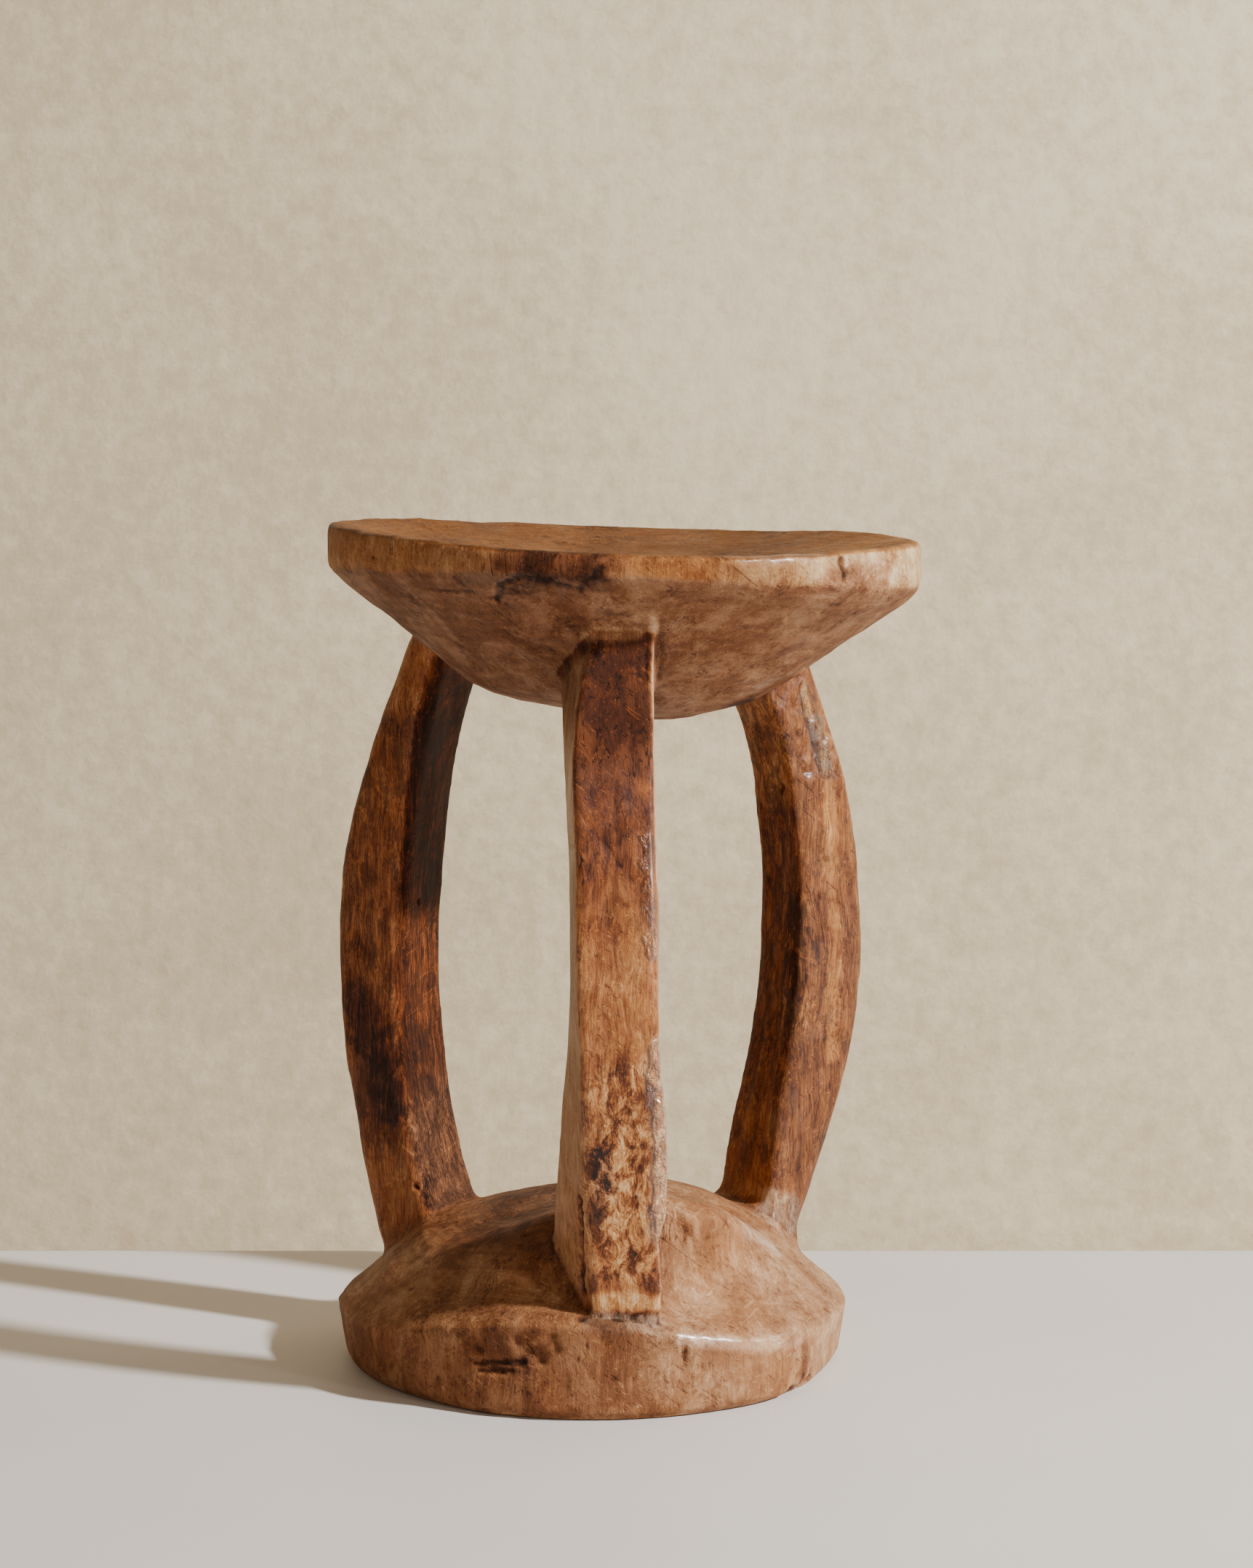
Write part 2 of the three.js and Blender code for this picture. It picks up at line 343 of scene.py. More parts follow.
def distances(name):
    """Signed distances in mm to a CAD node on the shape grid, negative inside."""
    points, triangles = node_triangles(name)
    grid = openvdb.FloatGrid.createLevelSetFromPolygons(
        ((points - LOW) / VOXEL).astype(np.float32),
        triangles=triangles.astype(np.uint32),
        halfWidth=BAND_VOXELS,
    )
    field = np.empty(tuple(SIZE), np.float32)
    grid.copyToArray(field)
    return field * VOXEL


def grid_axes():
    axes = []
    for axis in range(3):
        places = (LOW[axis] + VOXEL * np.arange(SIZE[axis])).astype(np.float32)
        axes.append(places.reshape([-1 if other == axis else 1 for other in range(3)]))
    return axes


def soft_union(a, b, reach):
    """The union of two fields, filleted over about the reach, which may vary by place."""
    share = np.maximum(reach - np.abs(a - b), 0) / reach
    return np.minimum(a, b) - share * share * reach / 4


def ease(value, low, high):
    """A soft step from 0 at low to 1 at high."""
    share = np.clip((value - low) / (high - low), 0, 1)
    return share * share * (3 - 2 * share)


def until(value, low, high):
    """A soft step from 1 at low to 0 at high."""
    return 1 - ease(value, low, high)


def in_leg_directions(name, x, y):
    """The outward and the sidelong part, in one leg's directions, of what points along x, y."""
    bearing = BEARINGS[name]
    outward = x * math.sin(bearing) - y * math.cos(bearing)
    sidelong = x * math.cos(bearing) + y * math.sin(bearing)
    return outward, sidelong


# Fillets between a leg and the seat or base: tight outside, wide inside, in mm.
HEAD_FILLETS = {"front_leg": (1.6, 9.0), "left_leg": (2.0, 4.0), "right_leg": (2.0, 3.0)}
FOOT_FILLETS = {"front_leg": (1.8, 4.0), "left_leg": (2.4, 5.0), "right_leg": (9.0, 12.0)}


def join(body, legs, fillets, axes):
    """One body with its three legs, each filleted by its own reach."""
    x, y, z = axes
    for name in LEGS:
        outward, sidelong = in_leg_directions(name, x - LEG_AXIS_X, y)
        tight, wide = fillets[name]
        wide_share = until(outward, 84, 100)
        if name == "front_leg" and fillets is HEAD_FILLETS:
            wide_share = np.maximum(wide_share, until(sidelong, -16, -4))
        reach = tight + (wide - tight) * wide_share
        body = soft_union(body, legs[name], reach + 0 * z)
    return body


def joined_solids(fields):
    """The five solids as one distance field, cut flat at the floor."""
    axes = grid_axes()
    upper = join(fields["seat"], fields, HEAD_FILLETS, axes)
    lower = join(fields["base"], fields, FOOT_FILLETS, axes)
    return np.maximum(np.minimum(upper, lower), 0.0 - axes[2])


def corner_steps():
    """From a cell's low corner to each of its eight corners."""
    for corner in range(8):
        yield np.array([corner & 1, corner >> 1 & 1, corner >> 2 & 1])


def field_at(field, points):
    """The field's value at points, by the eight grid values round each."""
    place = (points - LOW) / VOXEL
    base = np.clip(np.floor(place).astype(int), 0, SIZE - 2)
    part = (place - base).astype(np.float32)
    total = np.zeros(len(points), np.float32)
    for step in corner_steps():
        weight = np.prod(np.where(step, part, 1 - part), axis=1)
        i, j, k = (base + step).T
        total += weight * field[i, j, k]
    return total


def surface(field):
    """The zero surface of a field as points in mm and quads facing out."""
    grid = openvdb.FloatGrid(background=float(field.max()))
    grid.copyFromArray(np.ascontiguousarray(field))
    points, quads = grid.convertToQuads(isovalue=0.0)
    return points.astype(np.float64) * VOXEL + LOW, quads.astype(np.int64)


def point_normals(points, quads):
    a, b, c, d = (points[quads[:, k]] for k in range(4))
    face = np.cross(c - a, d - b)
    normals = np.zeros_like(points)
    for k in range(4):
        for axis in range(3):
            normals[:, axis] += np.bincount(quads[:, k], face[:, axis], len(points))
    return normals / np.maximum(np.linalg.norm(normals, axis=1, keepdims=True), 1e-12)


def directed_edges(quads):
    return np.concatenate([quads[:, [k, (k + 1) % 4]] for k in range(4)])


def edges_of(quads):
    return np.unique(np.sort(directed_edges(quads), axis=1), axis=0)


def spread(values, edges, rounds, share=0.5):
    """Values at points, evened out over the mesh's edges."""
    a, b = edges.T
    size = len(values)
    count = np.bincount(a, minlength=size) + np.bincount(b, minlength=size)
    for _ in range(rounds):
        if values.ndim == 1:
            total = np.bincount(a, values[b], size) + np.bincount(b, values[a], size)
            values = values + share * (total / count - values)
        else:
            values = np.stack([spread(column, edges, 1, share) for column in values.T], axis=1)
    return values


class Noise:
    """Smooth noise from a wrapped lattice of seeded random values, about -1 to 1."""

    cells = 32
    octave_shift = 7.3

    def __init__(self, seed):
        self.lattice = np.random.default_rng(seed).uniform(-1, 1, (self.cells,) * 3)

    def __call__(self, points, size, octaves=1):
        total = np.zeros(len(points))
        for octave in range(octaves):
            halvings = 2**octave
            place = points / (np.asarray(size) / halvings) + self.octave_shift * octave
            base = np.floor(place).astype(int)
            part = place - base
            part = part * part * (3 - 2 * part)
            for step in corner_steps():
                weight = np.prod(np.where(step, part, 1 - part), axis=1)
                i, j, k = ((base + step) % self.cells).T
                total += weight * self.lattice[i, j, k] / halvings
        return total


# Seeds, one for each noise.
BROAD_RELIEF, MIDDLE_RELIEF, FINE_RELIEF = 3, 5, 8
FACETS, SCOOPS = 21, 22
RAGGED_MARKS, RAGGED_PATCHES = 13, 35
SLOW_TONE, FRAYED_BORDERS = 31, 33


def to_line(points, line):
    """Distance in mm from each point to a line through the given places."""
    line = np.asarray(line, float)
    if len(line) == 1:
        return np.linalg.norm(points - line[0], axis=1)
    best = np.full(len(points), np.inf)
    for a, b in zip(line[:-1], line[1:]):
        along = b - a
        share = np.clip(((points - a) @ along) / (along @ along), 0, 1)
        best = np.minimum(best, np.linalg.norm(points - a - share[:, None] * along, axis=1))
    return best


def near_line(points, line, reach):
    """Which points lie within reach of the box round a line, to save work on the others."""
    low, high = np.min(line, axis=0), np.max(line, axis=0)
    return ((points > low - reach) & (points < high + reach)).all(axis=1)


def facets(points, cell, seed):
    """How far each point lies from the middle of its irregular cell, 0 to about 1."""
    cells = 16
    lattice = np.random.default_rng(seed).uniform(0.12, 0.88, (cells, cells, cells, 3))
    place = points / np.asarray(cell, float)
    base = np.floor(place).astype(int)
    nearest = np.full(len(points), np.inf)
    for step in np.ndindex(3, 3, 3):
        neighbour = base + np.array(step) - 1
        i, j, k = (neighbour % cells).T
        middle = neighbour + lattice[i, j, k]
        nearest = np.minimum(nearest, ((place - middle) ** 2).sum(axis=1))
    return np.clip(np.sqrt(nearest) / 0.8, 0, 1)


def wear_weights(points, owners, edges):
    """How much wear has rounded each part of the surface, 0 to 1."""
    x, y, z = points.T
    seat, base, front, left, right = (owners == number for number in range(len(PIECES)))
    weights = np.full(len(points), 0.15)
    near_rim = seat * ease(np.hypot(x, y), 98, 110) * (1 - 0.8 * ease(y, 10, 60))
    weights += near_rim * (0.5 + 0.35 * ease(x, 20, 70) + 0.1 * until(x, -110, -80))
    weights += 0.35 * left + 0.7 * right
    weights += 0.6 * front * ease(x, 4, 10) * ease(z, 54, 66) * until(z, 225, 245)
    weights += base * (0.25 + 0.35 * ease(x, 0, 50))
    weights += base * 0.4 * until(z, 8, 14) * until(x, -70, -30)
    weights -= base * 0.35 * until(z, 5, 9) * ease(x, -50, -20)
    return np.clip(spread(weights, edges, 3), 0, 1)


def even_out(points, edges, weights, rounds):
    """Rounds the surface off where the weights are high."""
    for _ in range(rounds):
        points = points + weights[:, None] * (spread(points, edges, 1, 1.0) - points) * 0.5
    return points


# How far each leg stands out past the plain solid on its left and right: heights, left,
# right, in mm.
WIDENING = {
    "front_leg": (
        (40, 60, 72, 84, 100, 125, 138, 150, 200, 300),
        (0.6, 1.2, 1.5, 1.6, 1.6, 1.4, 1.0, 0.5, 0.2, 0.0),
        (-0.8, -0.6, -1.6, 1.4, 2.0, 1.7, 0.2, -0.3, 0.0, 0.0),
    ),
    "left_leg": (
        (50, 70, 100, 150, 190, 222, 250, 265, 280, 300),
        (0.8, 0.6, 0.2, 0.6, 0.6, 1.0, 0.4, 0.5, 1.6, 3.4),
        (0.4, 0.5, 0.1, 0.4, 1.2, 1.7, 1.8, 2.4, 3.8, 4.2),
    ),
    "right_leg": (
        (60, 80, 100, 120, 150, 180, 200, 222, 240, 260, 290),
        (0.0, 0.0, 0.0, 0.0, 0.0, 0.0, 0.0, 0.0, -0.6, -1.2, 0.0),
        (0.8, 1.2, 1.5, 1.5, 0.9, 1.2, 1.5, 2.2, 2.8, 1.2, 0.0),
    ),
}


def widen(points, normals, fields):
    """Stands the legs' left and right sides out by the widening."""
    z, nx = points[:, 2], normals[:, 0]
    shift = np.zeros_like(points)
    for name, (heights, left, right) in WIDENING.items():
        near = until(np.abs(field_at(fields[name], points)), 1, 7)
        amount = np.where(nx < 0, np.interp(z, heights, left), np.interp(z, heights, right))
        shift[:, 0] += near * amount * nx
    return points + shift


def swell(points):
    """Widens the front leg's outer face to its left, most at the head, least at the foot."""
    x, y, z = points.T
    outward, sidelong = in_leg_directions("front_leg", x - LEG_AXIS_X, y)
    amount = 1.6 + 2.6 * ease(z, 220, 285) - 2.8 * until(z, 110, 180)
    share = ease(-sidelong, -4, 11) * ease(outward, 88, 108) * ease(z, 33, 46)
    share *= until(z, 290, 312)
    bearing = BEARINGS["front_leg"]
    to_left = np.array([-math.cos(bearing), -math.sin(bearing), 0])
    return points + (amount * share)[:, None] * to_left


def warp(points):
    """Bends the rim and the base's front edge, as no carver keeps them even."""
    x, y, z = points.T
    moved = points.copy()
    moved[:, 0] -= 1.1 * until(x, -122, -90) * (z > 300)
    moved[:, 2] += 1.4 * ease(x, 40, 100) * ease(z, 336, 344)
    moved[:, 2] += 0.5 * ease(y, 30, 80) * ease(z, 338, 345)
    push = (4.5 * ease(x, -90, -50) + 1.5 * ease(x, 30, 58)) * until(x, 72, 92)
    moved[:, 1] -= push * until(z, 1, 26) * ease(-y, 30, 55)
    return moved


# The front leg's face steps in below two ledges: their heights, depths and soft edge, in mm.
HEAD_LEDGE = 311
HEAD_LEDGE_DEPTH = 1.4
FOOT_LEDGE = 43.5
FOOT_LEDGE_DEPTH = 2.6
LEDGE_EDGE = 1.5


def adze_marks(points, normals, owners, middle):
    """Round facets where the surface lies flat, long scoops where it stands upright."""
    rise = normals[:, 2]
    round_cells = facets(points + 3 * middle(points, 20)[:, None], (17, 17, 17), FACETS)
    long_cells = facets(points + 2 * middle(points, 20)[:, None], (9, 9, 42), SCOOPS)
    upright = until(np.abs(rise), 0.35, 0.75)
    dish = ease(rise, 0.4, 0.8) * (points[:, 2] > MID_HEIGHT)
    depth = 0.7 * (1 - upright) * (1 - 0.8 * dish) * (1 - round_cells**2)
    return depth + upright * np.where(owners == FRONT, 0.3, 0.6) * (1 - long_cells**2)


def ledges(points, normals, owners, middle):
    x, _, z = points.T
    toward_viewer = -normals[:, 1]
    front = owners == FRONT
    below = HEAD_LEDGE + 0.8 * middle(points, 6) - z
    face = front & (toward_viewer > 0.5) & (x < 9.5)
    depth = face * HEAD_LEDGE_DEPTH * ease(below, 0, LEDGE_EDGE) * until(below, 10, 36)
    below = FOOT_LEDGE + 0.5 * middle(points, 6) - z
    face = front & (toward_viewer > 0.4) & (z < 60)
    return depth + face * FOOT_LEDGE_DEPTH * ease(below, 0, LEDGE_EDGE)


def knobs(points, normals, owners, middle):
    """Knobs along two worn arrises: low on the front leg and high on the right one."""
    z = points[:, 2]
    arris = ease(0.7 * normals[:, 0] - 0.7 * normals[:, 1], 0.8, 0.97)
    height = 2.0 * (owners == FRONT) * ease(z, 44, 56) * until(z, 146, 162)
    height += 1.4 * (owners == RIGHT) * ease(z, 232, 244)
    return arris * height * middle(points + 11, (6, 6, 4))


def relief(points, normals, owners, crease):
    """How far the carved surface lies inside the plain one, in mm."""
    x, _, z = points.T
    broad, middle, fine = map(Noise, (BROAD_RELIEF, MIDDLE_RELIEF, FINE_RELIEF))
    leg = owners >= FRONT
    depth = np.where(leg, -0.35, 0.0) + 0.5 * broad(points, (34, 34, 60), 2)
    depth += adze_marks(points, normals, owners, middle)
    depth += np.where(leg, 0.16, 0.24) * middle(points, (7, 7, 10), 2)
    depth += 0.05 * fine(points, (2.6, 2.6, 6))
    depth += ledges(points, normals, owners, middle)
    depth += knobs(points, normals, owners, middle)
    depth *= 0.35 + 0.65 * ease(crease, 2, 9)
    hill = (owners == BASE) * ease(normals[:, 2], 0.4, 0.7) * ease(z, 54, 64)
    depth += hill * until(x, -30, -8)
    return np.clip(depth, -0.9, 3.0) * ease(z, 0.3, 4)


# Cuts, gouges, chips and worm holes: half width, depth, darkening, places, in mm.
MARKS = [
    (2.2, 1.0, 0.17, [(-50, -98, 325), (-48, -108, 332), (-40, -114, 335), (-29, -116, 333)]),
    (2.0, 0.8, 0.17, [(-29, -116, 333), (-18, -115, 330), (-13, -121, 335), (-9, -122, 339)]),
    (1.3, 1.2, 0.28, [(-100, -70, 341)]),
    (1.4, 0.6, 0.17, [(-77, -85, 328), (-60, -97, 328)]),
    (1.2, 0.4, -0.12, [(-51, -106, 332), (-51, -96, 324)]),
    (2.2, 0.6, 0.4, [(85, -89, 341), (86, -88, 334)]),
    (1.2, 0.4, -0.08, [(63, -93, 322), (64, -74, 310)]),
    (1.2, 0.3, -0.08, [(77, -80, 319), (78, -64, 311)]),
    (1.2, 0.3, -0.08, [(69, -81, 316), (70, -72, 311)]),
    (2.0, 0.3, 0.11, [(79, -57, 308), (93, -63, 318)]),
    (1.6, 0.4, 0.14, [(44, -90, 313), (56, -84, 313)]),
    (1.3, 0.5, 0.07, [(-15, -113, 241), (-7, -114, 230), (3, -114, 217)]),
    (1.6, 0.8, 0.17, [(12, -115, 185), (12, -115, 180)]),
    (1.8, 0.8, 0.17, [(14, -115, 154), (14, -115, 146)]),
    (1.4, 0.8, 0.22, [(-16, -104, 279), (-16, -105, 276)]),
    (1.8, 0.6, 0.05, [(14, -101, 317), (15, -89, 306), (14, -77, 294)]),
    (2.0, 1.6, 0.25, [(-18, -106, 89), (-17, -103, 74), (-17, -99, 56), (-17, -103, 41)]),
    (1.5, 1.5, 0.33, [(-89, 36, 188)]),
    (1.5, 1.5, 0.33, [(-89, 19, 67)]),
    (2.2, 1.2, 0.25, [(67, 37, 236)]),
    (1.3, 0.6, 0.17, [(83, 37, 190), (92, 43, 187)]),
    (1.3, 0.5, 0.14, [(83, 37, 206), (87, 40, 206)]),
    (1.6, 1.0, 0.25, [(-88, -52, 41)]),
    (3.0, 1.0, 0.14, [(22, -76, 75), (25, -76, 68)]),
    (1.3, 0.5, -0.2, [(26, -75, 67), (30, -74, 51)]),
    (1.5, 0.7, 0.17, [(40, -63, 73), (43, -60, 68)]),
    (1.4, 0.7, 0.22, [(72, -34, 38), (74, -32, 37)]),
    (1.8, 1.4, 0.17, [(84, -34, 28), (85, -33, 27)]),
    (3.2, 1.2, 0.06, [(-67, -93, 32), (-59, -96, 26)]),
    (3.4, 1.4, 0.06, [(-42, -103, 32), (-33, -104, 25)]),
    (2.4, 1.0, 0.05, [(-29, -105, 34), (-26, -105, 29)]),
    (1.3, 0.9, 0.25, [(-60, -95, 21), (-50, -99, 22), (-40, -102, 23)]),
    (1.2, 0.8, 0.22, [(-58, -96, 18), (-45, -101, 19)]),
    (1.4, 0.9, 0.17, [(24, -100, 28), (24, -100, 23)]),
    (1.5, 1.0, 0.19, [(-4, -105, 17), (-4, -104, 15)]),
    (1.5, 1.0, 0.22, [(16, -100, 6), (16, -98, 2)]),
    (2.6, 1.2, 0.17, [(-15, -101, 1), (-10, -101, 0)]),
    (2.0, 1.0, 0.17, [(3, -100, 1), (6, -99, 0)]),
    (4.0, 2.6, 0.25, [(65, -67, 2), (71, -60, 3), (75, -55, 5)]),
]


def carve(points, normals):
    """Presses the listed marks in and returns the points and the marks' darkening."""
    ragged = Noise(RAGGED_MARKS)(points, 2.8, 2)
    dark = np.zeros(len(points))
    depth = np.zeros(len(points))
    for half_width, deep, shade, line in MARKS:
        near = near_line(points, line, half_width * 1.6 + 2)
        away = to_line(points[near], line) + ragged[near] * half_width * 0.5
        share = until(away, half_width * 0.2, half_width * 1.3)
        depth[near] = np.maximum(depth[near], deep * share)
        stronger = np.abs(dark[near]) < np.abs(shade * share)
        dark[near] = np.where(stronger, shade * share, dark[near])
    return points - normals * depth[:, None], dark


# Local differences in finish, among them painted highlights, painted light and painted shade: the
# amount and the radius in mm of each attribute, and places.
PATCHES = [
    ({"tone": (-0.15, 9)}, [(-43, -112, 345), (-23, -119, 342), (-10, -122, 341)]),
    ({"tone": (-0.1, 7)}, [(-60, -103, 336), (-30, -116, 334), (-14, -119, 334)]),
    ({"gloss": (0.5, 6)}, [(35, -112, 347), (60, -105, 346), (78, -96, 345)]),
    ({"tone": (0.06, 8)}, [(98, -76, 338), (110, -55, 338)]),
    ({"tone": (-0.22, 5), "red": (0.5, 6)}, [(80, -93, 332), (88, -87, 333), (104, -66, 334)]),
    # Painted highlight along the front leg's right arris at the head.
    (
        {"tone": (0.36, 1.8)},
        [(11, -102, 319), (12, -97, 312), (12, -97, 304), (11, -101, 293), (11, -103, 281)],
    ),
    # Painted highlight along the front leg's head ledge.
    ({"tone": (0.1, 3)}, [(-11, -99, 316), (-3, -101, 317), (6, -103, 319), (11, -104, 321)]),
    # Painted light, greyed, lifting the shadow that the head ledge casts.
    ({"tone": (0.26, 2.5), "cool": (0.5, 3)}, [(-15, -95, 311), (-8, -98, 312), (5, -98, 312)]),
    # Painted light lifting the shade on the head's left facet.
    ({"tone": (0.12, 4)}, [(-19, -88, 303), (-19, -93, 295), (-18, -101, 287)]),
    # Painted shade on the head, where the bowl shades it.
    ({"tone": (-0.09, 7)}, [(-8, -107, 277), (5, -106, 277)]),
    ({"tone": (0.18, 3)}, [(8, -110, 253)]),
    ({"tone": (0.14, 3)}, [(-15, -113, 241)]),
    ({"gloss": (0.7, 4)}, [(9, -113, 232), (10, -114, 210), (11, -115, 190)]),
    ({"tone": (0.12, 6)}, [(4, -115, 201), (7, -116, 172), (9, -116, 142)]),
    ({"mottle": (1.1, 13)}, [(-2, -115, 135), (-3, -112, 100), (0, -108, 70)]),
    ({"tone": (-0.26, 4), "cool": (0.5, 4.5)}, [(-10, -114, 108), (-9, -112, 97), (-11, -110, 85)]),
    # Painted highlight along the front leg's right arris, where glints fall.
    ({"tone": (0.18, 2.5)}, [(14, -114, 131), (14, -111, 105), (15, -106, 75)]),
    ({"gloss": (1.2, 5)}, [(13, -115, 150), (14, -114, 131), (15, -111, 105), (15, -106, 75)]),
    # Painted light: the foot's chamfer band, pale and warm as where it catches the light.
    ({"tone": (0.5, 4)}, [(-11, -104, 48), (0, -104, 48), (13, -102, 47)]),
    ({"cool": (-0.4, 3.2)}, [(-11, -104, 47), (0, -104, 47), (13, -102, 45)]),
    ({"tone": (0.04, 3), "cool": (0.6, 4), "dust": (0.6, 4)}, [(-12, -104, 40), (13, -101, 39)]),
    ({"tone": (-0.25, 8)}, [(-116, 37, 145), (-108, 32, 122), (-101, 27, 101)]),
    ({"tone": (0.16, 2)}, [(-94, 25, 112), (-90, 24, 88)]),
    ({"tone": (0.1, 8)}, [(-88, 40, 175), (-88, 39, 140)]),
    ({"tone": (-0.12, 14)}, [(-87, 21, 277), (-89, 23, 258)]),
    # Painted highlight along the right leg's ridge.
    (
        {"tone": (0.3, 2.2)},
        [(74, -25, 292), (77, 35, 278), (79, 36, 268), (84, 40, 254), (85, 39, 245)],
    ),
    ({"gloss": (1.1, 4.5)}, [(77, 35, 278), (79, 36, 268), (84, 40, 254), (85, 39, 245)]),
    # Painted highlight: a pale streak down the right leg's lit face.
    ({"tone": (0.22, 3.4)}, [(86, 40, 237), (88, 41, 206), (90, 42, 164), (89, 42, 120)]),
    # Painted reflection: the right leg's ridge top greyed and darkened.
    ({"cool": (0.7, 5), "tone": (-0.2, 4)}, [(82, 38, 264), (85, 39, 247)]),
    ({"tone": (-0.2, 9)}, [(48, -26, 277), (58, 42, 256)]),
    ({"tone": (0.15, 4)}, [(54, 33, 62), (61, 22, 62), (70, 26, 64)]),
    (
        {"tone": (0.18, 6), "gloss": (0.7, 7), "dust": (0.9, 9), "cool": (0.6, 9)},
        [(51, -37, 66), (60, -17, 55)],
    ),
    ({"dust": (0.8, 7)}, [(61, 20, 59), (67, 24, 57), (74, 31, 50)]),
    ({"cool": (0.8, 8)}, [(61, 20, 60), (67, 24, 58), (74, 31, 50)]),
    ({"tone": (0.12, 6)}, [(61, 20, 59), (67, 24, 57)]),
    ({"tone": (0.12, 5)}, [(75, 31, 260)]),
    ({"tone": (-0.3, 2.2)}, [(75, 31, 260)]),
    ({"mottle": (0.5, 8), "flake": (0.3, 8)}, [(75, 37, 185), (74, 34, 138)]),
    ({"tone": (0.1, 3)}, [(-58, -37, 65), (-42, -41, 71), (-22, -96, 87)]),
    ({"tone": (-0.2, 4)}, [(73, -61, 18), (70, -63, 8)]),
    (
        {"gloss": (0.9, 3)},
        [(24, -100, 32), (37, -95, 29), (48, -88, 26), (61, -77, 24), (71, -65, 23)],
    ),
    ({"tone": (0.12, 3)}, [(24, -100, 32), (37, -95, 29), (48, -88, 26), (61, -77, 24)]),
    # Pale dust and a painted sheen on the bowl's left underside.
    ({"dust": (0.7, 4)}, [(-87, -24, 305), (-78, -19, 296), (-71, -23, 291), (-63, -26, 286)]),
    ({"dust": (0.5, 4)}, [(43, -43, 282), (53, -43, 286), (63, -40, 290), (74, -32, 294)]),
]


class Finish:
    """The values that drive the wood's looks, one per point, added up member by member."""

    def __init__(self, points, normals, owners):
        self.points = points
        self.normals = normals
        self.owners = owners
        self.slow = Noise(SLOW_TONE)(points, (60, 60, 80), 2)
        self.middle = Noise(FRAYED_BORDERS)
        self.values = {name: np.zeros(len(points)) for name in ATTRIBUTES}

    def add(self, mask, **amounts):
        for name, amount in amounts.items():
            self.values[name] += mask * amount

    def facing(self, leg):
        """How far the surface faces outward and sidelong in one leg's directions."""
        nx, ny, _ = self.normals.T
        return in_leg_directions(leg, nx, ny)


def finish_seat(finish):
    x, y, _ = finish.points.T
    rise = finish.normals[:, 2]
    seat = finish.owners == SEAT
    fray = 0.16 * finish.middle(finish.points, (7, 7, 5), 2)
    below = ease(fray - rise, 0.1, 0.6)

    dish = seat * ease(rise, 0.35, 0.75)
    finish.add(dish, tone=0.34 + 0.03 * finish.slow + 0.08 * ease(x, 60, 110))
    finish.add(dish, cool=-0.3, red=-0.9, mottle=-0.1, gloss=0.1)

    rim = seat * (1 - dish) * (1 - below)
    right = ease(x + 9 * finish.middle(finish.points, 14, 2), -22, 14) * ease(-y, -60, 20)
    left = 1 - right
    finish.add(rim, tone=0.58 - 0.16 * right + 0.32 * ease(x, 30, 75) + 0.04 * finish.slow)
    finish.add(rim, tone=0.03 * until(x, -70, -40) - 0.1 * ease(x, -55, -35) * left)
    finish.add(rim, cool=0.62 * ease(x, 20, 62) + 0.1 + 0.35 * left)
    finish.add(rim, red=0.3 * left - 0.4 * right, flake=0.25 - 0.2 * right)
    finish.add(rim, mottle=0.3 + 0.25 * ease(x, 40, 80))

    under = seat * below
    finish.add(under, tone=0.38 + 0.07 * ease(x, -10, 70) + 0.05 * finish.slow)
    finish.add(under, cool=0.65, mottle=0.22, dust=0.15)


def finish_base(finish):
    x, _, z = finish.points.T
    rise = finish.normals[:, 2]
    base = finish.owners == BASE

    mound = base * np.maximum(ease(rise, 0.2, 0.5), ease(z, 40, 48))
    top = ease(z, 50, 66)
    finish.add(mound, tone=0.45 + 0.13 * ease(x, -25, 25) + 0.04 * finish.slow)
    finish.add(mound, tone=0.05 * ease(-x, 70, 95) - 0.18 * top * until(x, -20, 10))
    finish.add(mound, tone=0.04 * until(x, -25, 0) * (1 - top))
    finish.add(mound, cool=0.5 + 0.15 * ease(x, -25, 25) + 0.2 * ease(x, 40, 90), mottle=0.3)

    sole = base * ease(-rise, 0.6, 0.9)
    finish.add(sole, tone=0.6, cool=0.5, mottle=0.4)

    wall = base * (1 - mound) * until(-rise, 0.6, 0.9)
    # Partly painted light and shade: the wall is paler and greyer toward the key light on the right
    # and darker to the left, partly its own colour.
    across = 0.16 * ease(x, -40, 60) + 0.12 * ease(x, 55, 85) - 0.07 * ease(x, -80, -45)
    finish.add(wall, tone=0.46 + across + 0.04 * finish.slow)
    finish.add(wall, cool=0.58 + 0.15 * ease(x, 60, 85), mottle=0.25)


def finish_front_leg(finish):
    """The outer face goes from a dark head, partly painted shade under the bowl, through a pale
    middle to a blotched foot; the side face is painted darker near the head as shade.
    """
    z = finish.points[:, 2]
    leg = finish.owners == FRONT
    outward, _ = finish.facing("front_leg")
    outer = leg * ease(outward, 0.3, 0.7)
    side = leg - outer
    head = ease(z, 225, 270)

    finish.add(leg, tone=0.04 * finish.slow, cool=0.05, gloss=0.3 - 0.4 * ease(z, 250, 280))
    # Painted shade in part: the outer face darkens toward the head, where the bowl shades it.
    finish.add(outer, tone=0.48 - 0.17 * ease(z, 200, 265) - 0.14 * ease(z, 272, 290))
    finish.add(outer, tone=-0.05 * ease(z, 205, 225) * until(z, 275, 300))
    finish.add(outer, tone=0.05 * until(z, 90, 150) - 0.17 * until(z, 50, 68))
    finish.add(outer, tone=0.03 * ease(z, 66, 80) * until(z, 95, 110))
    finish.add(outer, cool=0.2 * head, flake=0.3 - 0.55 * head)
    finish.add(outer, red=0.25 + 0.2 * ease(z, 190, 230) - 0.2 * ease(z, 262, 285))
    finish.add(outer, mottle=0.25 + 0.45 * until(z, 110, 150) - 0.1 * ease(z, 220, 280))
    # Painted shade: the side face darkens near the head, where the bowl shades it.
    finish.add(side, tone=0.62 + 0.17 * ease(z, 190, 240) - 0.36 * ease(z, 262, 288))
    finish.add(side, cool=0.65 + 0.3 * ease(z, 130, 200))


